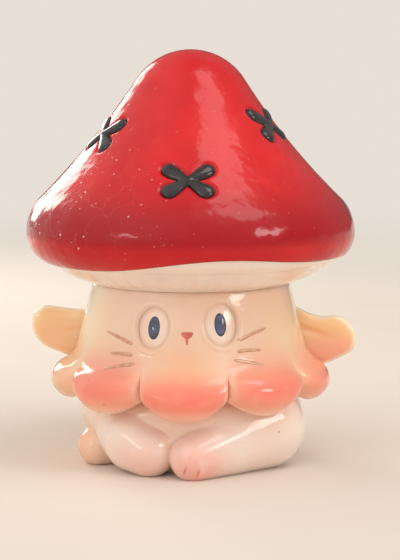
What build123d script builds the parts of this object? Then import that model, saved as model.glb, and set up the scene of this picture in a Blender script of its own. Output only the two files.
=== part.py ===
from build123d import *
import os
from math import asin, atan2, cos, degrees, radians, sin, sqrt, tan

# A glazed ceramic ornament: a seated kitten with a frill of petals, under a mushroom cap that lifts off.
# Millimetres, +Z up, the face towards -Y, the origin on the table under the cap's axis.
# Left and right are those of a person who looks at the face, so left is -X.

# Castings: the wall of every hollow piece, and the radial play of one that seats in another
WALL = 3.0
SEAT_PLAY = 0.3

# Body: a hollow seat that stands on a foot ring
BODY_HEIGHT = 17.0
BODY_RADIUS = 24.4
BODY_WAIST_HEIGHT = 11.6
SHOULDER_RADIUS = 20.5
FOOT_RADIUS = 17.5
FOOT_RING_WIDTH = 4.0
FOOT_RECESS = 0.8
VENT_RADIUS = 3.0

# Head: a hollow bell that flares to a rolled hem, with a tenon in the body and a spigot for the cap
HEAD_HEIGHT = 22.5
HEAD_TOP_RADIUS = 21.6
HEAD_LEAN = 14.6
HEAD_EDGE_ROUND = 1.0
FLARE_START = 10.5
HEM_FLARE = 1.1
HEM_ROUND = 2.6
HEM_RAISE = 1.0
TENON_RADIUS = 14.0
TENON_LENGTH = 4.0
SPIGOT_RADIUS = 12.0
SPIGOT_HEIGHT = 8.0
SPIGOT_VENT_RADIUS = 1.5

# Cap: a bell of tangent arcs, open below, over a disc with a socket
CAP_RADIUS = 36.0
CAP_RISE = 39.6
CAP_RIM_LIFT = 10.9
TIP_ROUND = 14.0
FLANK_HOLLOW = 160.0
RIM_ROUND = 10.5
LIP_ROUND = 7.0
LIP_TURN = 68.0
GILL_OVERHANG = 0.5
GILL_BULGE = 0.5
SOCKET_DEPTH = 10.0

# Cross-stitches: black crosses let into the cap, each at a turn from the front and a height above the rim
STITCH_LENGTH = 13.5
STITCH_WIDTH = 2.8
STITCH_SPREAD = 35.0
STITCH_DEPTH = 0.9
STITCH_PROUD = 0.6
STITCH_PLACES = ((2, 12.9), (69, 23.6), (128, 12.9), (182, 22.5), (236, 12.9), (295, 21.6))

# Frill: puffed petals round the hem, which overlap from the front to the back
PETAL_COUNT = 9
PETAL_HALF_WIDTH = 9.9
PETAL_HALF_DEPTH = 4.6
PETAL_HALF_LENGTH = 5.7
PETAL_TILT = 14.0
PETAL_OUT = 0.2
PETAL_RAISE = -0.2

# Ears: flattened lobes at the sides of the head
EAR_LENGTH = 6.8
EAR_ROOT_RADIUS = 5.4
EAR_TIP_RADIUS = 4.2
EAR_FLATNESS = 0.6
EAR_TURN = 97.0
LEFT_EAR_BELOW_SEAT = 11.6
RIGHT_EAR_BELOW_SEAT = 12.8
EAR_TIP_LIFT = 1.0

# Face: eyes set in pockets, with pupils let into them, a nose and whiskers, all turned a little to the right
FACE_TURN = 1.3
EYE_TURN = 17.2
EYE_BELOW_SEAT = 7.1
EYE_HALF_WIDTH = 3.6
EYE_HALF_HEIGHT = 4.5
EYE_DEPTH = 1.5
EYE_PROUD = 0.2
EYE_PLAY = 0.15
PUPIL_HALF_WIDTH = 1.2
PUPIL_HALF_HEIGHT = 2.35
PUPIL_DEPTH = 0.5
NOSE_WIDTH = 2.5
NOSE_HEIGHT = 1.1
NOSE_BELOW_SEAT = 8.6
MOUTH_WIDTH = 0.5
MOUTH_LENGTH = 1.5
WHISKER_WIDTH = 0.8
WHISKER_TURN = 34.5
WHISKER_BELOW_SEAT = 12.6
WHISKER_SPACING = 2.6
WHISKER_LENGTHS = (7.9, 5.4, 6.8)
WHISKER_FAN = 12.0
PAINT_DEPTH = 0.5
PAINT_PROUD = 0.25

# Limbs: two forelegs folded on the table and two hind feet, as balls at their ends
LEFT_LEG_ROOT = (-11.4, -14.5, 8.0)
LEFT_LEG_ROOT_RADIUS = 7.8
LEFT_PAW = (-9.1, -18.2, 5.2)
LEFT_PAW_RADIUS = 6.0
RIGHT_LEG_ROOT = (15.8, -8.2, 8.8)
RIGHT_LEG_ROOT_RADIUS = 9.6
RIGHT_PAW = (1.8, -22.0, 4.3)
RIGHT_PAW_RADIUS = 5.2
HIND_FOOT_RADIUS = 4.4
HIND_FOOT_LENGTH = 4.0
HIND_FOOT_HEIGHT = 3.9
HIND_FOOT_OUT = 20.2
LEFT_HIND_TURN = -78.0
RIGHT_HIND_TURN = 112.0

# Levels that follow from the heights above
SEAT_Z = BODY_HEIGHT + HEAD_HEIGHT
RIM_Z = SEAT_Z + CAP_RIM_LIFT
TIP_Z = RIM_Z + CAP_RISE
ROOM = 2 * (TIP_Z + CAP_RADIUS)


def direction(point):
    """The angle of a flat vector, in degrees from +X."""
    return degrees(atan2(point.Y, point.X))


def turned(outline):
    """The solid that a half outline, drawn with Z as its second axis, sweeps about Z."""
    return revolve(Plane.XZ * outline, Axis.Z)


def grown(outline, amount):
    """The solid that a half outline sweeps after its skin moves out by an amount, or in by a negative one."""
    whole = outline + mirror(outline, Plane.YZ)
    half = Pos(ROOM / 2, 0) * Rectangle(ROOM, 2 * ROOM)
    return turned(offset(whole, amount) & half)


def cylinder(radius, low, high):
    """An upright cylinder on the axis between two levels."""
    return Pos(0, 0, low) * Cylinder(radius, high - low, align=(Align.CENTER, Align.CENTER, Align.MIN))


def on_axis(radius, turn, height):
    """A point at a radius and height, turned from the front towards the right."""
    return Vector(radius * sin(radians(turn)), -radius * cos(radians(turn)), height)


def skin_plane(radius, turn, height, lean):
    """The plane that touches a skin from outside, where its normal leans up from the horizontal."""
    across = on_axis(1, turn + 90, 0)
    normal = on_axis(cos(radians(lean)), turn, sin(radians(lean)))
    return Plane(origin=on_axis(radius, turn, height), x_dir=across, z_dir=normal)


def let_in(sketch, plane, layer):
    """A piece with the outline of a sketch on a plane, as thick as the layer of skin that it is let into."""
    return extrude(plane * sketch, amount=2 * WALL, both=True) & layer


def ellipsoid(half_x, half_y, half_z):
    """An ellipsoid about the origin."""
    return scale(Sphere(1), by=(half_x, half_y, half_z))


def limb(root, root_radius, tip, tip_radius):
    """A limb that tapers from a ball at its root to a ball at its tip."""
    root, tip = Vector(root), Vector(tip)
    length = (tip - root).length
    taper = degrees(asin((root_radius - tip_radius) / length))
    root_arc = CenterArc((0, 0), root_radius, -90, 90 + taper)
    tip_arc = CenterArc((0, length), tip_radius, taper, 90 - taper)
    side = Line(root_arc @ 1, tip_arc @ 0)
    core = Line(tip_arc @ 1, root_arc @ 0)
    return Plane(origin=root, z_dir=tip - root) * turned(make_face([root_arc, side, tip_arc, core]))


def above_table(solid):
    """A solid with what lies below the table cut off flat."""
    return solid - Pos(0, 0, -ROOM) * Cylinder(ROOM, ROOM, align=(Align.CENTER, Align.CENTER, Align.MIN))


# Body

def body_outline():
    side = TangentArc((BODY_RADIUS, BODY_WAIST_HEIGHT), (FOOT_RADIUS, 0), tangent=(0, -1))
    shoulder = TangentArc(
        (BODY_RADIUS, BODY_WAIST_HEIGHT), (SHOULDER_RADIUS, BODY_HEIGHT), tangent=(0, 1)
    )
    edges = Polyline((SHOULDER_RADIUS, BODY_HEIGHT), (0, BODY_HEIGHT), (0, 0), (FOOT_RADIUS, 0))
    return make_face([side, shoulder, edges])


def make_body(outline):
    socket = cylinder(TENON_RADIUS + SEAT_PLAY, BODY_HEIGHT - 2 * WALL, BODY_HEIGHT)
    recess = cylinder(FOOT_RADIUS - FOOT_RING_WIDTH, 0, FOOT_RECESS)
    vent = cylinder(VENT_RADIUS, 0, 2 * WALL)
    return turned(outline) - grown(outline, -WALL) - socket - recess - vent


# Head

class HeadOutline:
    """The head's half outline: a straight flank, a flare and a rolled hem, each tangent to the next."""

    def __init__(self):
        lean = radians(HEAD_LEAN)
        along = Vector(sin(lean), -cos(lean))
        out = Vector(cos(lean), sin(lean))
        top = Vector(HEAD_TOP_RADIUS, SEAT_Z)
        start = top + along * (FLARE_START / cos(lean))
        inset = out * (HEM_FLARE - HEM_ROUND)
        drop = start.Y + inset.Y - (BODY_HEIGHT + HEM_RAISE)
        self.hem = start + inset + along * (drop / cos(lean))
        flare_round = ((start - self.hem).length ** 2 - HEM_ROUND**2) / (2 * HEM_FLARE)
        flare_centre = start + out * flare_round
        roll_start = direction(flare_centre - self.hem)
        flank = Line(top, start)
        flare = CenterArc(flare_centre, flare_round, 180 + HEAD_LEAN, roll_start - HEAD_LEAN)
        roll = CenterArc(self.hem, HEM_ROUND, -90, 90 + roll_start)
        edges = Polyline(roll @ 0, (SHOULDER_RADIUS, BODY_HEIGHT), (0, BODY_HEIGHT), (0, SEAT_Z), top)
        self.face = make_face([flank, flare, roll, edges])


def head_radius(below_seat):
    """The radius of the head's flank, so far below the cap's seat."""
    return HEAD_TOP_RADIUS + below_seat * tan(radians(HEAD_LEAN))


def head_plane(turn, below_seat):
    """The plane that touches the head's flank, so far below the cap's seat."""
    return skin_plane(head_radius(below_seat), turn, SEAT_Z - below_seat, HEAD_LEAN)


def make_head(outline, lets):
    bell = turned(outline)
    bell = fillet(bell.edges().group_by(Axis.Z)[-1], HEAD_EDGE_ROUND)
    spigot = cylinder(SPIGOT_RADIUS, SEAT_Z - WALL, SEAT_Z + SPIGOT_HEIGHT)
    spigot_bore = cylinder(SPIGOT_RADIUS - WALL, SEAT_Z - 2 * WALL, SEAT_Z + SPIGOT_HEIGHT - WALL)
    spigot_vent = cylinder(SPIGOT_VENT_RADIUS, SEAT_Z, SEAT_Z + SPIGOT_HEIGHT)
    tenon = cylinder(TENON_RADIUS, BODY_HEIGHT - TENON_LENGTH, BODY_HEIGHT + WALL)
    tenon_bore = cylinder(TENON_RADIUS - WALL, BODY_HEIGHT - TENON_LENGTH, BODY_HEIGHT + 2 * WALL)
    casting = bell - grown(outline, -WALL) + spigot + tenon - spigot_bore - spigot_vent - tenon_bore
    return casting - lets


# Cap

class CapOutline:
    """The cap's half outline: tip, hollow flank, rim and lip arcs, each tangent to the next."""

    def __init__(self):
        tip = Vector(0, TIP_Z - TIP_ROUND)
        rim = Vector(CAP_RADIUS - RIM_ROUND, RIM_Z)
        lip = Vector(CAP_RADIUS - LIP_ROUND, RIM_Z)
        self.flank = self.tangent_centre(tip, FLANK_HOLLOW + TIP_ROUND, rim, FLANK_HOLLOW + RIM_ROUND)
        tip_end = direction(self.flank - tip)
        rim_start = direction(self.flank - rim)
        tip_arc = CenterArc(tip, TIP_ROUND, tip_end, 90 - tip_end)
        flank_arc = CenterArc(self.flank, FLANK_HOLLOW, tip_end + 180, rim_start - tip_end)
        rim_arc = CenterArc(rim, RIM_ROUND, 0, rim_start)
        lip_arc = CenterArc(lip, LIP_ROUND, -LIP_TURN, LIP_TURN)
        self.lip_edge = lip_arc @ 0
        base = Polyline(self.lip_edge, (0, self.lip_edge.Y), (0, TIP_Z))
        self.face = make_face([tip_arc, flank_arc, rim_arc, lip_arc, base])

    @staticmethod
    def tangent_centre(first, first_reach, second, second_reach):
        """The point at two distances from two points, on the outer side of the line between them."""
        span = second - first
        along = (first_reach**2 - second_reach**2 + span.length**2) / (2 * span.length)
        aside = sqrt(first_reach**2 - along**2)
        unit = span.normalized()
        return first + unit * along + Vector(-unit.Y, unit.X) * aside

    def plane(self, turn, above_rim):
        """The plane that touches the flank at a height above the rim."""
        height = RIM_Z + above_rim
        radius = self.flank.X - sqrt(FLANK_HOLLOW**2 - (height - self.flank.Y) ** 2)
        lean = direction(self.flank - Vector(radius, height))
        return skin_plane(radius, turn, height, lean)


def make_cap_shell(cap, lets):
    mouth = cylinder(cap.lip_edge.X - WALL, cap.lip_edge.Y, cap.lip_edge.Y + 2 * WALL)
    return turned(cap.face) - grown(cap.face, -WALL) - mouth - lets


def make_gill_disc(cap):
    socket_radius = SPIGOT_RADIUS + SEAT_PLAY
    register = cap.lip_edge.X - WALL - SEAT_PLAY
    inner_edge = Vector(HEAD_TOP_RADIUS + GILL_OVERHANG, SEAT_Z)
    underside = SagittaArc(inner_edge, cap.lip_edge, -GILL_BULGE)
    edges = Polyline(
        underside @ 1,
        (register, cap.lip_edge.Y),
        (register, cap.lip_edge.Y + WALL),
        (register - WALL, cap.lip_edge.Y + WALL),
        (register - WALL, cap.lip_edge.Y),
        (socket_radius + WALL, SEAT_Z + WALL),
        (socket_radius + WALL, SEAT_Z + SOCKET_DEPTH),
        (socket_radius, SEAT_Z + SOCKET_DEPTH),
        (socket_radius, SEAT_Z),
        underside @ 0,
    )
    return turned(make_face([underside, edges]))


def make_stitches(cap):
    """The crosses, in the order of their places."""
    layer = grown(cap.face, STITCH_PROUD) - grown(cap.face, -STITCH_DEPTH)
    bar = SlotOverall(STITCH_LENGTH, STITCH_WIDTH)
    cross = Rot(Z=STITCH_SPREAD) * bar + Rot(Z=-STITCH_SPREAD) * bar
    return [let_in(cross, cap.plane(turn, height), layer) for turn, height in STITCH_PLACES]


# Frill and ears

def petal(turn, hem):
    """A petal on the hem, whose lower end leans out."""
    lobe = ellipsoid(PETAL_HALF_WIDTH, PETAL_HALF_DEPTH, PETAL_HALF_LENGTH)
    place = Pos(0, -hem.X - PETAL_OUT, hem.Y + PETAL_RAISE) * Rot(X=-PETAL_TILT)
    return Rot(Z=turn) * place * lobe


def make_petals(hem, head, body):
    """Petals by number from the front, right then left; each lies under those nearer to the front."""
    spacing = 360 / PETAL_COUNT
    petals = []
    for k in range(PETAL_COUNT):
        side = 1 if k % 2 else -1
        lobe = petal(side * spacing * ((k + 1) // 2), hem) - head - body
        for nearer in petals[-2:]:
            lobe = lobe - nearer
        petals.append(lobe)
    return petals


def make_ear(below_seat, head, petals):
    """The right ear, flattened from front to back, so far below the cap's seat."""
    lobe = limb((0, 0, 0), EAR_ROOT_RADIUS, (EAR_LENGTH, 0, EAR_TIP_LIFT), EAR_TIP_RADIUS)
    place = Rot(Z=EAR_TURN - 90) * Pos(head_radius(below_seat), 0, SEAT_Z - below_seat)
    return place * scale(lobe, by=(1, EAR_FLATNESS, 1)) - head - petals


# Face

def make_eye(turn):
    """An eye, its pupil and the pocket that they sit in."""
    plane = head_plane(turn, EYE_BELOW_SEAT)
    floor = plane.offset(-EYE_DEPTH)
    pocket = extrude(floor * Ellipse(EYE_HALF_WIDTH, EYE_HALF_HEIGHT), amount=2 * EYE_DEPTH)
    base = (EYE_HALF_WIDTH - EYE_PLAY, EYE_HALF_HEIGHT - EYE_PLAY)
    height = EYE_DEPTH + EYE_PROUD
    dome = floor * ellipsoid(*base, height) & extrude(floor * Ellipse(*base), amount=2 * height)
    pupil_bar = extrude(plane * Ellipse(PUPIL_HALF_WIDTH, PUPIL_HALF_HEIGHT), amount=EYE_DEPTH, both=True)
    pupil = (pupil_bar & dome) - floor * ellipsoid(*base, height - PUPIL_DEPTH)
    return dome - pupil, pupil, pocket


def make_nose(layer):
    tip = Polygon((-NOSE_WIDTH / 2, 0), (NOSE_WIDTH / 2, 0), (0, -NOSE_HEIGHT), align=None)
    mouth = Pos(0, -NOSE_HEIGHT / 2) * Rectangle(
        MOUTH_WIDTH, MOUTH_LENGTH, align=(Align.CENTER, Align.MAX)
    )
    return let_in(tip + mouth, head_plane(FACE_TURN, NOSE_BELOW_SEAT), layer)


def make_whiskers(side, layer):
    """The whiskers of one cheek, fanned out from the nose."""
    hairs = []
    for k, length in enumerate(WHISKER_LENGTHS):
        below_seat = WHISKER_BELOW_SEAT + (k - 1) * WHISKER_SPACING
        plane = head_plane(FACE_TURN + side * WHISKER_TURN, below_seat)
        hair = Rot(Z=-side * (k - 1) * WHISKER_FAN) * SlotOverall(length, WHISKER_WIDTH)
        hairs.append(let_in(hair, plane, layer))
    return hairs


# Limbs

def hind_foot(turn):
    heel = on_axis(HIND_FOOT_OUT, turn, HIND_FOOT_HEIGHT)
    toe = heel + Vector(0, -HIND_FOOT_LENGTH, 0)
    return limb(heel, HIND_FOOT_RADIUS, toe, HIND_FOOT_RADIUS)


def make_limbs(body, head, petals):
    """The limbs by name, each cut by the body, the head, the frill and the limbs in front of it."""
    shapes = {
        "right_foreleg": limb(RIGHT_LEG_ROOT, RIGHT_LEG_ROOT_RADIUS, RIGHT_PAW, RIGHT_PAW_RADIUS),
        "left_foreleg": limb(LEFT_LEG_ROOT, LEFT_LEG_ROOT_RADIUS, LEFT_PAW, LEFT_PAW_RADIUS),
        "left_hind_foot": hind_foot(LEFT_HIND_TURN),
        "right_hind_foot": hind_foot(RIGHT_HIND_TURN),
    }
    limbs = {}
    for name, shape in shapes.items():
        shape = above_table(shape) - body - head - petals
        for nearer in limbs.values():
            shape = shape - nearer
        limbs[name] = shape
    return limbs


def make_pieces():
    """Every piece by the name of its node."""
    body_face, head_line, cap = body_outline(), HeadOutline(), CapOutline()
    body, head = turned(body_face), turned(head_line.face)
    petals = make_petals(head_line.hem, head, body)
    mirrored_petals = [mirror(lobe, Plane.YZ) for lobe in petals]
    paint = grown(head_line.face, PAINT_PROUD) - grown(head_line.face, -PAINT_DEPTH)
    left_eye, left_pupil, left_pocket = make_eye(FACE_TURN - EYE_TURN)
    right_eye, right_pupil, right_pocket = make_eye(FACE_TURN + EYE_TURN)
    nose = make_nose(paint)
    left_whiskers, right_whiskers = make_whiskers(-1, paint), make_whiskers(1, paint)
    head_lets = [left_pocket, right_pocket, nose, *left_whiskers, *right_whiskers]
    stitches = make_stitches(cap)
    pieces = {
        "cap_shell": make_cap_shell(cap, stitches),
        "gill_disc": make_gill_disc(cap),
        "head_shell": make_head(head_line.face, head_lets),
        "body_shell": make_body(body_face),
        "left_ear": mirror(make_ear(LEFT_EAR_BELOW_SEAT, head, mirrored_petals), Plane.YZ),
        "right_ear": make_ear(RIGHT_EAR_BELOW_SEAT, head, petals),
        "left_eye": left_eye,
        "right_eye": right_eye,
        "left_pupil": left_pupil,
        "right_pupil": right_pupil,
        "nose": nose,
        "left_whiskers": Compound(left_whiskers),
        "right_whiskers": Compound(right_whiskers),
    }
    pieces |= {f"cross_stitch_{k + 1}": stitch for k, stitch in enumerate(stitches)}
    pieces |= {f"frill_petal_{k + 1}": lobe for k, lobe in enumerate(petals)}
    pieces |= make_limbs(body, head, petals)
    return pieces


os.makedirs("parts", exist_ok=True)
for node, piece in make_pieces().items():
    export_step(piece, f"parts/{node}.step")
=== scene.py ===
import math

import bmesh
import bpy
import numpy as np
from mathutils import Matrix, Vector


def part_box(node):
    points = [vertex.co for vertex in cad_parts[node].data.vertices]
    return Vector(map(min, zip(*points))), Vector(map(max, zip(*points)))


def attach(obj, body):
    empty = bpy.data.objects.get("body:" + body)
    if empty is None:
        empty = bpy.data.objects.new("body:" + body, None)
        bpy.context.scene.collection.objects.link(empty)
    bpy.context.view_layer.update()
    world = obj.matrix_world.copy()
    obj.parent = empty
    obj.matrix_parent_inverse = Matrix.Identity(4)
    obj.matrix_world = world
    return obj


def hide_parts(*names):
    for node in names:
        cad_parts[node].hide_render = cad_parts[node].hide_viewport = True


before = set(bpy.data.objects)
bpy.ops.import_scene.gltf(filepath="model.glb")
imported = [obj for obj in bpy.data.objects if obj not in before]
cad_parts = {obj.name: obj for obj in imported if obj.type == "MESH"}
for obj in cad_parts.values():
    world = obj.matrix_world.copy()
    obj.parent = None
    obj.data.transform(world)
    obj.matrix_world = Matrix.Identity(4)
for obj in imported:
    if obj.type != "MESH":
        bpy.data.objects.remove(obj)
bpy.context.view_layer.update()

# Lengths are millimetres until a mesh is made, the face looks towards -Y, and turns are degrees from the
# front towards the viewer's right. A pair of numbers is where a change starts and ends, or, for a bell,
# its middle and its width.
MM = 0.001
MERGE_DISTANCE = 0.0001
SIDES = {"left": -1, "right": 1}


def top_of(node):
    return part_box(node)[1].z / MM


def foot_of(node):
    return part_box(node)[0].z / MM


# Sizes that come from the frame
CAP_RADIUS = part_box("cap_shell")[1].x / MM
TIP_Z = top_of("cap_shell")
LIP_Z = foot_of("cap_shell")
SEAT_Z = foot_of("gill_disc")
SPIGOT_Z = top_of("head_shell")
BODY_Z = top_of("body_shell")


# Curves and grids

def arc(centre, radius, start, end, count):
    """Points on an arc from one angle to another, in degrees."""
    angles = np.radians(np.linspace(start, end, count))
    return np.column_stack([centre[0] + radius * np.cos(angles), centre[1] + radius * np.sin(angles)])


def spline(points, count):
    """Points on a smooth curve through the given ones."""
    points = np.asarray(points, float)
    padded = np.vstack([2 * points[0] - points[1], points, 2 * points[-1] - points[-2]])
    place = np.linspace(0, len(points) - 1, count)
    first = np.minimum(place.astype(int), len(points) - 2)
    t = (place - first)[:, None]
    a, b, c, d = (padded[first + k] for k in range(4))
    return 0.5 * (2 * b + (c - a) * t + (2 * a - 5 * b + 4 * c - d) * t**2 + (3 * b - a - 3 * c + d) * t**3)


def loop(points, count):
    """Points on a smooth closed curve through the given ones."""
    wrapped_points = points[-2:] + points + points[:3]
    per_span = count // len(points)
    curve = spline(wrapped_points, (len(wrapped_points) - 1) * per_span + 1)
    return curve[2 * per_span:(2 + len(points)) * per_span]


def smooth_step(low, high, value):
    """0 below one bound, 1 above the other, and a smooth rise between."""
    t = np.clip((value - low) / (high - low), 0, 1)
    return t * t * (3 - 2 * t)


def smooth_fall(low, high, value):
    """1 below one bound, 0 above the other, and a smooth fall between."""
    return 1 - smooth_step(low, high, value)


def smooth_max(first, second, blend):
    """The larger of two values, rounded where they are close."""
    near = np.maximum(blend - np.abs(first - second), 0) / blend
    return np.maximum(first, second) + near**2 * blend / 4


def bell(value, middle, width):
    """1 at a middle value and less away from it."""
    return np.exp(-(((value - middle) / width) ** 2))


def wrapped(turn):
    """A turn in degrees, brought to between -180 and 180."""
    return (turn + 180) % 360 - 180


def full_turn(columns):
    """Evenly spaced turns, once round."""
    return np.linspace(-180, 180, columns, endpoint=False)


class Profile:
    """A half outline of (radius, height) points, read by its length from the first one."""

    def __init__(self, points):
        self.points = points
        steps = np.hypot(*np.diff(points, axis=0).T)
        self.lengths = np.concatenate([[0], np.cumsum(steps)])
        slopes = np.gradient(points, self.lengths, axis=0)
        self.slopes = slopes / np.hypot(*slopes.T)[:, None]

    def read(self, length, values):
        return np.interp(length, self.lengths, values)

    def at(self, length):
        return self.read(length, self.points[:, 0]), self.read(length, self.points[:, 1])

    def normal(self, length):
        """The outward normal of an outline that runs down from the axis."""
        return -self.read(length, self.slopes[:, 1]), self.read(length, self.slopes[:, 0])

    def length_at(self, height):
        """The length at which an outline that only falls reaches a height."""
        return np.interp(-height, -self.points[:, 1], self.lengths)

    def skin(self, turn, length, lift):
        """Points round the axis, lifted off the outline."""
        radius, height = self.at(length)
        out, up = self.normal(length)
        return around(radius + out * lift, turn, height + up * lift)


def around(radius, turn, height):
    """Points at radii, turns and heights."""
    angle = np.radians(turn)
    return np.stack(np.broadcast_arrays(radius * np.sin(angle), -radius * np.cos(angle), height), axis=-1)


def ring(radius, turn, height):
    return around(np.array([[radius]]), turn, np.array([[height]]))


def grid_faces(points, closed=True):
    """Quads of a grid of points, whose rows run round and close unless told not to."""
    rows, columns = points.shape[:2]
    across = np.arange(columns if closed else columns - 1)
    beside = (across + 1) % columns
    first = np.arange(rows - 1)[:, None] * columns
    quads = np.stack([first + across, first + beside, first + columns + beside, first + columns + across], -1)
    return quads.reshape(-1, 4)


def joined(grids):
    """Points and faces of several grids as one."""
    points, faces, total = [], [], 0
    for grid in grids:
        points.append(grid.reshape(-1, 3))
        faces.append(grid_faces(grid) + total)
        total += len(points[-1])
    return np.concatenate(points), np.concatenate(faces)


def new_mesh(name, points, faces):
    """A mesh in metres, of points in millimetres."""
    mesh = bpy.data.meshes.new(name)
    mesh.from_pydata((points.reshape(-1, 3) * MM).tolist(), [], faces.tolist())
    return mesh


def new_object(name, data):
    thing = bpy.data.objects.new(name, data)
    bpy.context.scene.collection.objects.link(thing)
    return thing


def make_piece(name, points, material, body, nodes, masks=None, faces=None):
    """A smooth mesh piece that rides on a body and stands for CAD nodes, with masks as point attributes."""
    mesh = new_mesh(name, points, grid_faces(points) if faces is None else faces)
    for mask, values in (masks or {}).items():
        layer = mesh.attributes.new(mask, "FLOAT", "POINT")
        layer.data.foreach_set("value", np.ravel(values).astype(np.float32))
    shape = bmesh.new()
    shape.from_mesh(mesh)
    bmesh.ops.remove_doubles(shape, verts=shape.verts, dist=MERGE_DISTANCE * MM)
    bmesh.ops.recalc_face_normals(shape, faces=shape.faces)
    shape.to_mesh(mesh)
    shape.free()
    mesh.shade_smooth()
    mesh.materials.append(material)
    piece = new_object(name, mesh)
    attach(piece, body)
    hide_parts(*nodes)


# Materials; scales of noise and cells are in cells per metre

GLASS_IOR = 1.5
BODY_SHINE = 0.05
SPREAD_SHARE = 0.3
SPREAD_REACH = (1.0, 0.5, 0.3)
PATCH_SCALE = 220
PATCH_ROUGHNESS = (0.8, 1.3)
CLOUD_EDGE = (0.3, 0.7)
MOTTLE_SCALE = 210
MOTTLE_DETAIL = 5
MOTTLE_RAGGED = 0.6
MOTTLE_EDGE = (0.5, 0.8)
DOT_EDGE = 0.05
SPECK_SCALE = 300
SPECK_SIZE = 0.04
SPECK_DRIFT = 70
WAVE_SCALE = 110
RIPPLE_SCALE = 300
PEEL_SCALE = 900
PEEL_HEIGHT = 0.015
PINHOLE_SCALE = 520
PINHOLE_EDGE = (0.05, 0.13)
PINHOLE_DEPTH = 0.03

# The Mix node keeps sockets for each type of data; these are the two colours and their result.
MIX_FIRST = 6
MIX_SECOND = 7
MIX_RESULT = 2


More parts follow.
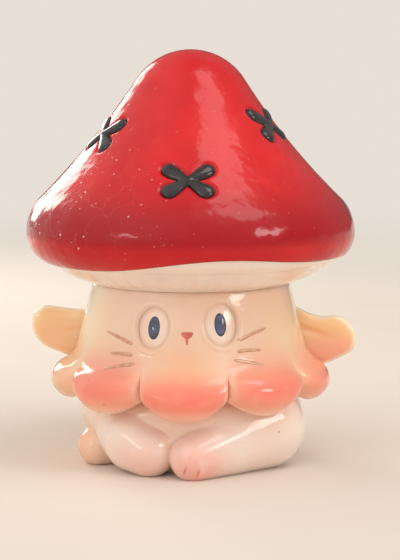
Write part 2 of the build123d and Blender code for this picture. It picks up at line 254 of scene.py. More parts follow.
class Nodes:
    """The node tree of a material or a world, with short ways to add its nodes."""

    def __init__(self, owner, coordinates="Object"):
        owner.use_nodes = True
        self.owner = owner
        self.tree = owner.node_tree
        self.place = self.add("ShaderNodeTexCoord").outputs[coordinates]

    def fill(self, node, inputs):
        """Gives a node's inputs, each a constant or another node's output."""
        for key, value in inputs.items():
            socket = node.inputs[key]
            if isinstance(value, bpy.types.NodeSocket):
                self.tree.links.new(value, socket)
            elif socket.type == "RGBA":
                socket.default_value = (*value, 1)
            else:
                socket.default_value = value

    def add(self, kind, inputs=None, **settings):
        node = self.tree.nodes.new(kind)
        for key, value in settings.items():
            setattr(node, key, value)
        self.fill(node, inputs or {})
        return node

    def noise(self, scale, detail=2, roughness=0.5):
        inputs = {"Vector": self.place, "Scale": scale, "Detail": detail, "Roughness": roughness}
        return self.add("ShaderNodeTexNoise", inputs).outputs["Fac"]

    def bent_place(self, scale, amount):
        """Coordinates pushed about by noise, so that cells get wandering edges."""
        noise = self.add("ShaderNodeTexNoise", {"Vector": self.place, "Scale": scale})
        inputs = {0: noise.outputs["Color"], 1: (amount * MM,) * 3, 2: self.place}
        return self.add("ShaderNodeVectorMath", inputs, operation="MULTIPLY_ADD").outputs["Vector"]

    def cells(self, scale, feature="F1", place=None):
        inputs = {"Vector": place or self.place, "Scale": scale}
        return self.add("ShaderNodeTexVoronoi", inputs, feature=feature).outputs["Distance"]

    def mask(self, name):
        return self.add("ShaderNodeAttribute", attribute_name=name).outputs["Fac"]

    def ramp(self, value, low, high, start=0.0, end=1.0):
        """A value brought smoothly from one range to another."""
        inputs = {"Value": value, "From Min": low, "From Max": high, "To Min": start, "To Max": end}
        return self.add("ShaderNodeMapRange", inputs, interpolation_type="SMOOTHSTEP").outputs["Result"]

    def combine(self, operation, first, second, clamp=False):
        node = self.add("ShaderNodeMath", {0: first, 1: second}, operation=operation, use_clamp=clamp)
        return node.outputs["Value"]

    def times(self, first, second):
        return self.combine("MULTIPLY", first, second)

    def mix(self, factor, first, second):
        inputs = {"Factor": factor, MIX_FIRST: first, MIX_SECOND: second}
        return self.add("ShaderNodeMix", inputs, data_type="RGBA").outputs[MIX_RESULT]

    def clouded(self, scale, first, second, detail=4, edge=CLOUD_EDGE):
        """Two tones that drift into each other in soft clouds."""
        return self.mix(self.ramp(self.noise(scale, detail), *edge), first, second)

    def mottled(self, colour, tone, amount, scale=MOTTLE_SCALE):
        """A colour with small ragged patches of a tone."""
        noise = self.noise(scale, MOTTLE_DETAIL, MOTTLE_RAGGED)
        return self.mix(self.ramp(noise, *MOTTLE_EDGE, 0, amount), colour, tone)

    def dots(self, scale, size):
        """1 on a small dot in each cell and 0 elsewhere."""
        return self.ramp(self.cells(scale), size, size + DOT_EDGE, 1, 0)

    def drift(self, scale, low, high):
        """1 in some patches and 0 in the others."""
        return self.ramp(self.noise(scale), low, high)

    def specked(self, colour, speck, low, high, scale=SPECK_SCALE):
        """A colour with a few small specks, in drifts."""
        specks = self.times(self.dots(scale, SPECK_SIZE), self.drift(SPECK_DRIFT, low, high))
        return self.mix(specks, colour, speck)

    def bump(self, height, distance, base=None):
        """A bump whose height of 1 stands for a distance in millimetres."""
        inputs = {"Height": height, "Distance": distance * MM}
        if base:
            inputs["Normal"] = base
        return self.add("ShaderNodeBump", inputs).outputs["Normal"]

    def fired_skin(self, waves=0.12, ripple=0.02):
        """The skin of a fired glaze: slow waves, a ripple, orange peel and a few pinholes."""
        slow = self.bump(self.noise(WAVE_SCALE), waves)
        quick = self.bump(self.noise(RIPPLE_SCALE), ripple, slow)
        peel = self.bump(self.noise(PEEL_SCALE), PEEL_HEIGHT, quick)
        return self.bump(self.ramp(self.cells(PINHOLE_SCALE), *PINHOLE_EDGE), PINHOLE_DEPTH, peel)

    def glaze(self, colour, normal, roughness, depth=0.0, coat=1.0, coat_roughness=0.07):
        """A fired glaze: a coloured body under a clear coat, into which light may spread."""
        least, most = (roughness * share for share in PATCH_ROUGHNESS)
        inputs = {
            "Base Color": colour,
            "Roughness": self.ramp(self.noise(PATCH_SCALE, detail=4), *CLOUD_EDGE, least, most),
            "IOR": GLASS_IOR,
            "Specular IOR Level": BODY_SHINE,
            "Normal": normal,
            "Coat Weight": coat,
            "Coat Roughness": coat_roughness,
            "Coat IOR": GLASS_IOR,
            "Coat Normal": normal,
        }
        if depth:
            inputs["Subsurface Weight"] = SPREAD_SHARE
            inputs["Subsurface Radius"] = SPREAD_REACH
            inputs["Subsurface Scale"] = depth * MM
        self.fill(self.tree.nodes["Principled BSDF"], inputs)
        return self.owner

    def show_mix(self, factor, first, second, output):
        """Gives the tree's output a mix of two shaders."""
        blend = self.add("ShaderNodeMixShader", {"Fac": factor, 1: first, 2: second})
        self.fill(self.tree.nodes[output], {"Surface": blend.outputs["Shader"]})


def material_nodes(name):
    return Nodes(bpy.data.materials.new(name))


def clouded_glaze(name, scale, tones, washes=None, mottle=None, specks=None, skin=(), detail=4, **finish):
    """A glaze of two clouded tones, with washes of other tones by mask, mottling and specks."""
    nodes = material_nodes(name)
    colour = nodes.clouded(scale, *tones, detail)
    for mask, tone in (washes or {}).items():
        colour = nodes.mix(nodes.mask(mask), colour, tone)
    if mottle:
        colour = nodes.mottled(colour, *mottle)
    if specks:
        colour = nodes.specked(colour, *specks)
    return nodes.glaze(colour, nodes.fired_skin(*skin), **finish)


def red_glaze():
    """The cap's red: clouded, darkened by painted shade in a band above the rim, and crazed and dotted with
    painted glints, most of all in a patch on the left.
    """
    # Crazing, real cracks drawn lighter than the red as where light catches them, and pale dots that are
    # painted glints on pinholes
    lit_craze = (0.85, 0.30, 0.25)
    small_glint = (0.95, 0.55, 0.46)
    large_glint = (1.0, 0.86, 0.80)
    nodes = material_nodes("red_glaze")
    colour = nodes.clouded(45, (0.57, 0.005, 0.009), (0.72, 0.012, 0.014), edge=(0.35, 0.7))
    colour = nodes.mottled(colour, (0.80, 0.035, 0.03), amount=0.4, scale=160)
    # A band above the rim darkened by painted shade
    colour = nodes.mix(nodes.mask("shaded_band"), colour, (0.40, 0.003, 0.008))
    crazing_and_glints = nodes.mask("crazing_and_glints")
    from_edge = nodes.cells(120, "DISTANCE_TO_EDGE", nodes.bent_place(scale=260, amount=5.0))
    cracks = nodes.ramp(from_edge, 0.004, 0.016, start=0.14, end=0)
    colour = nodes.mix(nodes.times(cracks, crazing_and_glints), colour, lit_craze)
    small = nodes.times(nodes.dots(560, size=0.05), crazing_and_glints)
    large = nodes.times(nodes.dots(400, size=0.07), crazing_and_glints)
    colour = nodes.mix(nodes.times(small, nodes.drift(130, 0.45, 0.6)), colour, small_glint)
    colour = nodes.mix(nodes.times(large, nodes.drift(90, 0.35, 0.47)), colour, large_glint)
    pitted = nodes.bump(large, 0.15, nodes.fired_skin(waves=0.55, ripple=0.13))
    skin = nodes.bump(small, 0.08, pitted)
    return nodes.glaze(colour, skin, roughness=0.2, coat=0.62, coat_roughness=0.12)


def white_glaze():
    return clouded_glaze(
        "white_glaze", 60, ((0.92, 0.77, 0.67), (0.95, 0.85, 0.77)),
        # painted shade in the gills' creases
        washes={"crease": (0.88, 0.68, 0.56)},
        specks=((0.55, 0.30, 0.20), 0.6, 0.7), roughness=0.2, depth=1.5,
    )


def peach_glaze():
    washes = {
        "golden": (0.97, 0.69, 0.43),
        # painted sunlight on the left flank
        "painted_sunlight": (1.0, 0.86, 0.63),
        "warm": (0.96, 0.52, 0.30),
        "coral": (0.93, 0.235, 0.165),
        # painted highlights along the hem and the creases
        "edge": (0.97, 0.60, 0.46),
    }
    return clouded_glaze(
        "peach_glaze", 50, ((0.89, 0.59, 0.44), (0.93, 0.68, 0.53)), washes,
        mottle=((0.97, 0.74, 0.56), 0.15),
        specks=((0.50, 0.22, 0.12), 0.58, 0.7),
        skin=(0.2, 0.045), roughness=0.18, depth=2.0,
    )


def blush_glaze():
    return clouded_glaze(
        "blush_glaze", 60, ((0.91, 0.72, 0.61), (0.95, 0.82, 0.73)),
        # the warm wash is partly painted shade, and the pink wash holds a patch of painted shade on the
        # body's right as well as the paws' blush
        washes={"warm": (0.97, 0.51, 0.29), "blush_and_shade": (0.90, 0.33, 0.25), "crease": (0.50, 0.10, 0.06)},
        mottle=((0.94, 0.86, 0.80), 0.4),
        specks=((0.55, 0.25, 0.16), 0.56, 0.68),
        skin=(0.2, 0.045), roughness=0.18, depth=1.8, coat_roughness=0.13,
    )


def orange_glaze():
    return clouded_glaze(
        "orange_glaze", 60, ((0.99, 0.60, 0.31), (1.0, 0.71, 0.43)),
        # the pale edge is painted rim light
        washes={"coral": (0.96, 0.42, 0.30), "edge": (1.0, 0.84, 0.64)},
        specks=((0.60, 0.26, 0.12), 0.58, 0.7),
        skin=(0.3, 0.12), roughness=0.18, depth=6.0,
    )


def black_glaze():
    return clouded_glaze(
        "black_glaze", 250, ((0.010, 0.008, 0.009), (0.030, 0.025, 0.027)),
        specks=((0.2, 0.17, 0.17), 0.5, 0.6, 500), roughness=0.2,
    )


def eye_glaze():
    return clouded_glaze(
        "eye_glaze", 200, ((0.90, 0.67, 0.54), (0.94, 0.77, 0.65)),
        washes={"edge": (0.84, 0.55, 0.40)}, roughness=0.14,
    )


def pupil_glaze():
    return clouded_glaze(
        "pupil_glaze", 500, ((0.055, 0.065, 0.12), (0.12, 0.14, 0.24)),
        washes={"edge": (0.035, 0.035, 0.06)}, detail=3, roughness=0.14,
    )


def whisker_paint():
    return clouded_glaze("whisker_paint", 900, ((0.60, 0.29, 0.17), (0.74, 0.42, 0.27)), roughness=0.25)


def nose_paint():
    return clouded_glaze("nose_paint", 900, ((0.64, 0.12, 0.10), (0.78, 0.20, 0.16)), roughness=0.25)


# Cap

RIM_Z = 50.4
TIP_ROUND = 14.0
FLANK_HOLLOW = 160.0
RIM_ROUND = 10.5
LIP_ROUND = 7.0
CAP_ROWS = 180
CAP_COLUMNS = 520
ARC_POINTS = {"tip": 120, "flank": 160, "rim": 90, "lip": 80}

# The unevenness of a hand's finish: waves round the cap, height, phase and twist per mm
HAND_WAVES = ((3, 0.14, 0.6, 0.0), (5, 0.08, 0.0, 0.09))
HAND_FADE = 25.0

# The lower edge of the red glaze, above the end of the lip
GLAZE_THICK = 0.3
GLAZE_TUCK = 1.5
BEAD_ROWS = 8
EDGE_LEAST = 0.3
EDGE_MEAN = 0.7
EDGE_TILT = 1.2
EDGE_RISE = 2.6
EDGE_RISE_TURN = (13.0, 30.0)
EDGE_BLEND = 0.6

# Where the red glaze is crazed and dotted with painted glints, and where painted shade darkens a band;
# heights of the band are above the rim
CRAZE_AND_GLINT_LEAST = 0.06
CRAZE_AND_GLINT_TURN = (-52.0, 30.0)
CRAZE_AND_GLINT_Z = (57.0, 9.0)
SHADE_BAND_TOP = (4.0, 13.0)
SHADE_BAND_FOOT = (-1.6, 0.8)
SHADE_BAND_LEAST = 0.25


def cap_profile():
    """The cap's outline from its tip to the end of its lip, of arcs that are tangent to each other."""
    tip = np.array([0, TIP_Z - TIP_ROUND])
    rim = np.array([CAP_RADIUS - RIM_ROUND, RIM_Z])
    lip = np.array([CAP_RADIUS - LIP_ROUND, RIM_Z])
    span = rim - tip
    length = math.hypot(*span)
    tip_reach = FLANK_HOLLOW + TIP_ROUND
    rim_reach = FLANK_HOLLOW + RIM_ROUND
    along = (tip_reach**2 - rim_reach**2 + length**2) / (2 * length)
    aside = math.sqrt(tip_reach**2 - along**2)
    unit = span / length
    flank = tip + unit * along + np.array([-unit[1], unit[0]]) * aside
    tip_end = math.degrees(math.atan2(*(flank - tip)[::-1]))
    rim_start = math.degrees(math.atan2(*(flank - rim)[::-1]))
    lip_end = math.degrees(math.asin((LIP_Z - RIM_Z) / LIP_ROUND))
    return Profile(np.vstack([
        arc(tip, TIP_ROUND, 90, tip_end, ARC_POINTS["tip"])[:-1],
        arc(flank, FLANK_HOLLOW, tip_end + 180, rim_start + 180, ARC_POINTS["flank"])[:-1],
        arc(rim, RIM_ROUND, rim_start, 0, ARC_POINTS["rim"])[:-1],
        arc(lip, LIP_ROUND, 0, lip_end, ARC_POINTS["lip"]),
    ]))


CAP = cap_profile()


def hand_waves(turn, length):
    angle = np.radians(turn)
    waves = 0
    for count, size, phase, twist in HAND_WAVES:
        waves = waves + size * np.sin(count * angle + phase + twist * length)
    return smooth_step(0, HAND_FADE, length) * waves


def glaze_edge(turn):
    """The height at which the red glaze ends on the lip: highest in front, and higher right than left."""
    rise = EDGE_RISE * bell(turn, *EDGE_RISE_TURN)
    height = LIP_Z + EDGE_MEAN + EDGE_TILT * np.sin(np.radians(turn)) + rise
    return smooth_max(height, LIP_Z + EDGE_LEAST, EDGE_BLEND)


def glaze_lengths(turn):
    """How far down the cap's outline the rows of the red glaze lie, at some turns."""
    end = CAP.length_at(RIM_Z) + LIP_ROUND * np.arcsin((RIM_Z - glaze_edge(turn)) / LIP_ROUND)
    return np.linspace(0, 1, CAP_ROWS)[:, None] * end


def glaze_bead(turn, length, lift):
    """The rounded lower edge of the red glaze, and a last row that tucks in behind it."""
    radius, height = CAP.at(length)
    out, up = CAP.normal(length)
    roll = np.radians(np.linspace(0, 90, BEAD_ROWS + 1)[1:])[:, None]
    sink = GLAZE_THICK * (np.cos(roll) - 1) + lift
    ahead = GLAZE_THICK * np.sin(roll)
    bead = around(radius + out * sink - up * ahead, turn, height + up * sink + out * ahead)
    tuck = CAP.skin(turn, length, -GLAZE_TUCK)[None]
    return np.concatenate([bead, tuck])


def cap_masks(turn, height):
    # The patch on the left of crazing and painted glints
    patch = bell(turn, *CRAZE_AND_GLINT_TURN) * bell(height, *CRAZE_AND_GLINT_Z)
    # The band above the rim that painted shade darkens, lighter again towards the lip's foot
    above = height - RIM_Z
    foot = SHADE_BAND_LEAST + (1 - SHADE_BAND_LEAST) * smooth_step(*SHADE_BAND_FOOT, above)
    return {"crazing_and_glints": CRAZE_AND_GLINT_LEAST + (1 - CRAZE_AND_GLINT_LEAST) * patch, "shaded_band": smooth_fall(*SHADE_BAND_TOP, above) * foot}


def make_cap(material):
    turn = full_turn(CAP_COLUMNS)
    length = glaze_lengths(turn)
    lift = hand_waves(turn, length) - pocket_depth(turn, length)
    points = np.concatenate([CAP.skin(turn, length, lift), glaze_bead(turn, length[-1], lift[-1])])
    masks = cap_masks(turn, points[..., 2])
    make_piece("cap_glaze", points, material, "cap", ["cap_shell"], masks)


# Underside of the cap

SPIGOT_RADIUS = 12.0
SOCKET_PLAY = 0.3
SOCKET_DEPTH = 10.0
NECK_RADIUS = 21.6
NECK_GAP = 0.5
LIP_COVER = 1.0
LIP_ROWS = 40
LIP_TANGENT = 6
LID_RISE = 1.5
GILL_ROWS = 70
GILL_BULGE = (0.35, -0.5)
GILL_COLUMNS = 480

# Creases of the gills: how many, how they wander and slant, how sharp and deep they are, and how strongly
# painted shade darkens them
FOLD_COUNT = 25
FOLD_WANDER = 0.02
FOLD_WAVES = 3
FOLD_SLANT = 0.05
FOLD_BUNCHES = 4
FOLD_BUNCHING = 1.8
FOLD_PATCHES = (2, 7)
FOLD_SHARPNESS = 0.45
FOLD_LEAST = 0.35
FOLD_EDGE = (-0.6, 0.6)
FOLD_PHASE = 2.6
FOLD_DEPTH = 0.08
FOLD_NARROWING = 0.4
FOLD_SHADE = 0.7


def gill_folds(turn, shown):
    """How deep the gills' creases are, from 0 to 1, at turns and at shares of the way in."""
    angle = np.radians(turn)
    wander = angle + FOLD_WANDER * np.sin(FOLD_WAVES * angle) + FOLD_SLANT * shown
    bunching = FOLD_BUNCHING * np.sin(FOLD_BUNCHES * angle)
    ridges = np.abs(np.sin(FOLD_COUNT * wander + bunching)) ** FOLD_SHARPNESS
    broad, fine = FOLD_PATCHES
    patches = smooth_step(*FOLD_EDGE, np.sin(broad * angle + FOLD_PHASE) + np.sin(fine * angle) / 2)
    return (1 - ridges) * (FOLD_LEAST + (1 - FOLD_LEAST) * patches) * np.sin(np.pi * shown)


def lip_and_gills():
    """Outlines of the white lip under the red glaze, and of the gills from there to the neck."""
    length = np.linspace(CAP.length_at(RIM_Z - LIP_COVER), CAP.lengths[-1], LIP_ROWS)
    radius, height = CAP.at(length)
    out, up = CAP.normal(length)
    lip = np.column_stack([radius - GLAZE_THICK * out, height - GLAZE_THICK * up])
    neck = np.array([NECK_RADIUS + NECK_GAP, SEAT_Z])
    belly = (lip[-1] + neck) / 2 + GILL_BULGE
    gills = spline([lip[-LIP_TANGENT], lip[-1], belly, neck], GILL_ROWS)
    return lip, gills[GILL_ROWS // 3 + 1:]


def make_underside(material):
    """The white underside, from under the red edge to the blind socket for the head's spigot."""
    turn = full_turn(GILL_COLUMNS)
    lip, gills = lip_and_gills()
    socket = SPIGOT_RADIUS + SOCKET_PLAY
    roof = SEAT_Z + SOCKET_DEPTH
    seat = [(NECK_RADIUS, SEAT_Z), (socket, SEAT_Z), (socket, roof), (0, roof)]
    outline = np.vstack([[(0, RIM_Z + LID_RISE)], lip, gills, seat])
    first = 1 + len(lip)
    fold = np.zeros((len(outline), GILL_COLUMNS))
    fold[first:first + len(gills)] = gill_folds(turn, np.linspace(0, 1, len(gills))[:, None])
    sink = FOLD_DEPTH * fold
    points = around(outline[:, :1] - FOLD_NARROWING * sink, turn, outline[:, 1:] + sink)
    # The creases are darkened with painted shade as well as sunk a little
    masks = {"crease": FOLD_SHADE * fold}
    make_piece("cap_underside", points, material, "cap", ["gill_disc"], masks)


# Cross-stitches: each at a turn and a height above the rim

STITCH_PLACES = ((2, 12.9), (69, 23.6), (128, 12.9), (182, 22.5), (236, 12.9), (295, 21.6))
STITCH_REACH = 6.5
STITCH_SPREAD = 35.0
STITCH_END = 1.75
STITCH_WAIST = 1.0
STITCH_POCKET = 0.5
STITCH_PUFF = 0.5
STITCH_BLEND = 0.3
STITCH_HALF_WIDTH = 6.6
STITCH_HALF_HEIGHT = 5.6
STITCH_PITCH = 0.14
STITCH_MARGIN = 0.2
POCKET_EDGE = (-0.05, 0.5)
POCKET_FAR_TURN = 80.0


def cross_bars(across, up):
    """For both bars of a cross: how far a point is from the bar's middle line, and half the bar's width."""
    straight = STITCH_REACH - STITCH_END
    for spread in (STITCH_SPREAD, -STITCH_SPREAD):
        angle = math.radians(spread)
        along = across * math.cos(angle) + up * math.sin(angle)
        aside = up * math.cos(angle) - across * math.sin(angle)
        nearest = np.clip(along, -straight, straight)
        width = STITCH_WAIST + (STITCH_END - STITCH_WAIST) * smooth_step(0, straight, np.abs(nearest))
        yield np.hypot(along - nearest, aside), width


def cross_distance(across, up):
    """How far a point lies outside the outline of a cross."""
    return np.minimum(*(gap - width for gap, width in cross_bars(across, up)))


def cross_height(across, up):
    """The height of a puffed cross above the skin, which falls below it outside the outline."""
    heights = []
    for gap, width in cross_bars(across, up):
        share = gap / width
        puff = np.sqrt(np.clip(1 - share**2, 0, 1)) * (STITCH_PUFF + STITCH_POCKET)
        heights.append(puff - STITCH_POCKET - np.maximum(share - 1, 0) * width)
    return smooth_max(*heights, STITCH_BLEND)


def pocket_depth(turn, length):
    """How far the cap's skin sinks for the crosses."""
    depth = 0
    radius = CAP.at(length)[0]
    for place, above in STITCH_PLACES:
        off = np.clip(wrapped(turn - place), -POCKET_FAR_TURN, POCKET_FAR_TURN)
        across = radius * np.sin(np.radians(off))
        up = CAP.length_at(RIM_Z + above) - length
        depth = depth + STITCH_POCKET * smooth_fall(*POCKET_EDGE, cross_distance(across, up))
    return depth


def make_stitch(number, place, above, material):
    across = np.arange(-STITCH_HALF_WIDTH, STITCH_HALF_WIDTH + STITCH_PITCH, STITCH_PITCH)
    up = np.arange(STITCH_HALF_HEIGHT, -STITCH_HALF_HEIGHT - STITCH_PITCH, -STITCH_PITCH)[:, None]
    across, up = np.broadcast_arrays(across, up)
    length = CAP.length_at(RIM_Z + above) - up
    turn = place + np.degrees(np.arcsin(across / CAP.at(length)[0]))
    points = CAP.skin(turn, length, cross_height(across, up) + hand_waves(turn, length))
    faces = grid_faces(points, closed=False)
    kept = cross_distance(across, up).ravel() < STITCH_MARGIN
    faces = faces[kept[faces].all(axis=1)]
    node = f"cross_stitch_{number}"
    make_piece(f"stitch_{number}", points, material, "cap", [node], faces=faces)


# Head and frill, as outlines of (radius, height)

SPIGOT = [(0, SPIGOT_Z), (SPIGOT_RADIUS - 0.7, SPIGOT_Z), (SPIGOT_RADIUS - 0.2, SPIGOT_Z - 0.2),
          (SPIGOT_RADIUS, SPIGOT_Z - 0.7), (SPIGOT_RADIUS, SEAT_Z + 0.3), (SPIGOT_RADIUS + 0.3, SEAT_Z)]
SHOULDER = [(20.9, SEAT_Z), (21.3, SEAT_Z - 0.05), (21.6, SEAT_Z - 0.2), (21.75, SEAT_Z - 0.5)]
FLANK = [(21.86, 38.5), (23.17, 33.5), (24.3, 29.2), (25.05, 26.2)]
FRONT_PETAL = FLANK + [(25.75, 24.2), (27.0, 22.2), (28.6, 20.2), (29.8, 18.0), (29.8, 15.6), (28.3, 13.4),
                       (26.2, 12.5), (24.6, 13.6), (23.4, 15.6)]
SIDE_PETAL = FLANK + [(25.7, 24.4), (27.2, 22.9), (29.4, 21.3), (30.8, 18.8), (30.7, 16.0), (28.9, 13.7),
                      (26.5, 12.9), (24.7, 13.9), (23.4, 15.6)]
CREASE = FLANK + [(25.75, 24.2), (26.7, 22.4), (26.9, 20.9), (26.6, 19.5), (26.1, 18.1), (25.3, 17.0),
                  (24.6, 16.5), (23.8, 16.7), (23.0, 16.9)]
SKIRT_ROWS = 170
FRONT_ROWS, SIDE_ROWS, CREASE_ROWS = (
    spline(outline, SKIRT_ROWS)[:, None] for outline in (FRONT_PETAL, SIDE_PETAL, CREASE)
)

PETALS = 9
PETAL_COLUMNS = 58
FRONT_TURN = (0.0, 20.0)
LAP = 0.9
LAP_EDGE = 0.07
HEM_Z = 12.5
HEM_RAISE = 1.2
RAISE_TURNS = (15, 80)
RAISE_HEIGHTS = (14, 24)
INNER_RADIUS = 20.0
INNER_DROP = 0.3

# Eyes, on a face that is turned a little to the right
FACE_TURN = 1.3
EYE_TURN = 17.2
EYE_Z = 32.4
EYE_TILT = 0.35
EYE_HALF_WIDTH = 3.6
EYE_HALF_HEIGHT = 4.5

# Pits round the eyes, whose sides and ridge are at shares of the way out to a pit's outline
PIT_TURN = 1.2
PIT_HALF_WIDTH = 4.2
PIT_HALF_HEIGHT = 4.9
PIT_DEPTH = 0.9
PIT_SIDES = (0.7, 1.02)
RIDGE_HEIGHT = 0.16
RIDGE_PLACE = (1.06, 0.06)

# Where the colour of the head and the frill changes, by turn and by height: tones of the glaze, painted
# sunlight on the left flank, and painted highlights along the hem and the creases
GOLDEN_SHARE = 0.75
GOLDEN_TURNS = (30, 62)
GOLDEN_HEIGHTS = (33, 40)
SUNLIGHT_TURN = (-72.0, 18.0)
SUNLIGHT_HEIGHTS = (24, 32)
WARM_SHARE = 0.6
WARM_HEIGHTS = (18, 30)
CHIN_SHARE = 0.95
CHIN_TURN = (0.0, 17.0)
CHIN_HEIGHTS = (21, 34)
CORAL_TOP = (18.5, 24.5)
CORAL_FOOT = (13.5, 17.5)
CORAL_PALING = 0.3
CORAL_SIDES = 0.4
BAND_Z = (19.4, 5.2)
BAND_SIDES = 0.75
FAR_SHARE = 0.2
FAR_TURNS = (60, 80)
FAR_LEFT_SHARE = 0.5
FAR_LEFT_TURN = (-80.0, 25.0)
HEM_SHARE = 0.65
HEM_HEIGHTS = (HEM_Z + 0.6, HEM_Z + 3.8)
CREASE_SHARE = 0.7
CREASE_SIDES = (0.82, 0.94)
CREASE_HEIGHTS = (HEM_Z + 3, HEM_Z + 12)


def petal_share(turn):
    """Where a turn lies across its petal, from -1 at one crease to 1 at the other."""
    return wrapped(turn * PETALS) / 180


def petal_middle(turn):
    """The turn of the middle of the petal that a turn is on."""
    return wrapped(turn - petal_share(turn) * 180 / PETALS)


def petal_puff(turn):
    """How far a petal swells out of the crease: each laps over the next one away from the front."""
    share = np.abs(petal_share(turn))
    tucked = np.sqrt(1 - np.minimum(share, 1) ** 2)
    fall = np.clip((share - 1 + LAP_EDGE) / LAP_EDGE, 0, 1)
    lapped = np.sqrt(1 - (LAP * share) ** 2) * np.sqrt(1 - fall**2)
    middle = petal_middle(turn)
    outer = (np.abs(middle) < 1) | (petal_share(turn) * middle > 0)
    return np.where(outer, lapped, tucked)


def skirt(turn):
    """Radius and height of the skirt's rows at some turns."""
    front = bell(petal_middle(turn), *FRONT_TURN)[:, None]
    middle = front * FRONT_ROWS + (1 - front) * SIDE_ROWS
    swell = np.stack([petal_puff(turn), 1 - petal_share(turn) ** 2], -1)
    rows = CREASE_ROWS + swell * (middle - CREASE_ROWS)
    aside = smooth_step(*RAISE_TURNS, np.abs(petal_middle(turn)))
    raised = HEM_RAISE * aside * smooth_fall(*RAISE_HEIGHTS, rows[..., 1])
    return rows[..., 0], rows[..., 1] + raised


def skirt_radius(turn, height):
    """The skirt's radius above its hem, at one turn and height."""
    radius, level = skirt(np.array([turn]))
    above = slice(0, SKIRT_ROWS // 2)
    return np.interp(-height, -level[above, 0], radius[above, 0])


def face_point(turn, height, lift):
    """A point on the face or cheeks, lifted off the skin."""
    step = 0.2
    radius = skirt_radius(turn, height)
    slope = (skirt_radius(turn, height + step) - radius) / step
    lean = math.atan(-slope)
    return around(radius + lift * math.cos(lean), turn, height + lift * math.sin(lean))


def eye_turn(side):
    """The turn of the eye at side -1 or 1."""
    return FACE_TURN + side * EYE_TURN


def eye_height(side):
    """The height of an eye's middle; the right eye is a little higher than the left one."""
    return EYE_Z + side * EYE_TILT


def pit_share(turn, radius, height, side):
    """How far out from the middle of an eye's pit a point is: 1 on the pit's outline."""
    off = np.clip(turn - eye_turn(side) - side * PIT_TURN, -90, 90)
    across = radius * np.sin(np.radians(off))
    return np.hypot(across / PIT_HALF_WIDTH, (height - eye_height(side)) / PIT_HALF_HEIGHT)


def eye_pits(turn, radius, height):
    """How far the face sinks round the eyes: a pit with sloping sides and a low ridge round it."""
    sunk = 0
    for side in SIDES.values():
        share = pit_share(turn, radius, height, side)
        ridge = RIDGE_HEIGHT * bell(share, *RIDGE_PLACE)
        sunk = sunk + PIT_DEPTH * smooth_fall(*PIT_SIDES, share) - ridge
    return np.where(height > EYE_Z - 2 * EYE_HALF_HEIGHT, sunk, 0)


def far_paling(turn):
    """How much paler the petals are at the sides and the back, most of all at the far left."""
    middle = petal_middle(turn)
    far_left = FAR_LEFT_SHARE * bell(middle, *FAR_LEFT_TURN)
    return FAR_SHARE * smooth_step(*FAR_TURNS, np.abs(middle)) + far_left


def coral_mask(turn, heights):
    """Coral, which rises from the hem on the front petal and is a band on the others."""
    share = np.abs(petal_share(turn))
    front = bell(petal_middle(turn), *FRONT_TURN)
    foot = 1 - CORAL_PALING * smooth_fall(*CORAL_FOOT, heights)
    rising = smooth_fall(*CORAL_TOP, heights) * foot * (1 - CORAL_SIDES * share**4)
    band = bell(heights, *BAND_Z) * (1 - BAND_SIDES * share**4) * (1 - far_paling(turn))
    return front * rising + (1 - front) * band


def frill_masks(turn, heights):
    share = np.abs(petal_share(turn))
    golden = smooth_step(*GOLDEN_TURNS, np.abs(turn)) * smooth_fall(*GOLDEN_HEIGHTS, heights)
    # Painted sunlight on the left flank
    painted_sunlight = bell(turn, *SUNLIGHT_TURN) * smooth_step(*SUNLIGHT_HEIGHTS, heights)
    chin = CHIN_SHARE * bell(turn, *CHIN_TURN) * smooth_fall(*CHIN_HEIGHTS, heights)
    warm = np.maximum(WARM_SHARE * smooth_fall(*WARM_HEIGHTS, heights), chin)
    # Paler rims along the hem and the creases: painted highlights
    hem = HEM_SHARE * smooth_fall(*HEM_HEIGHTS, heights)
    creases = CREASE_SHARE * smooth_step(*CREASE_SIDES, share) * smooth_fall(*CREASE_HEIGHTS, heights)
    return {
        "golden": GOLDEN_SHARE * golden,
        "painted_sunlight": painted_sunlight,
        "warm": warm * (1 - far_paling(turn)),
        "coral": coral_mask(turn, heights),
        "edge": np.maximum(hem, creases),
    }


def make_head(material):
    spread = np.sin(np.linspace(-np.pi / 2, np.pi / 2, PETAL_COLUMNS, endpoint=False))
    turn = wrapped(np.concatenate([(k + spread / 2) * 360 / PETALS for k in range(PETALS)]))
    radius, height = skirt(turn)
    top = np.array(SPIGOT + SHOULDER)
    points = np.concatenate([
        around(top[:, :1], turn, top[:, 1:]),
        around(radius - eye_pits(turn, radius, height), turn, height),
        ring(INNER_RADIUS, turn, BODY_Z - INNER_DROP),
        ring(0.0, turn, BODY_Z - INNER_DROP),
    ])
    nodes = ["head_shell"] + [f"frill_petal_{k + 1}" for k in range(PETALS)]
    masks = frill_masks(turn, points[..., 2])
    make_piece("head_and_frill", points, material, "figure", nodes, masks)


# Eyes

OVAL_ROWS = 22
OVAL_COLUMNS = 72
OVAL_EDGE = (0.7, 1.0)
EYE_PLAY = 0.97
EYE_SINK = 0.42
EYE_DOME = 0.44
EYE_DOME_POWER = 0.9
PUPIL_HALF_WIDTH = 1.35
PUPIL_HALF_HEIGHT = 2.4
PUPIL_SINK = 0.03
PUPIL_DOME = 0.26


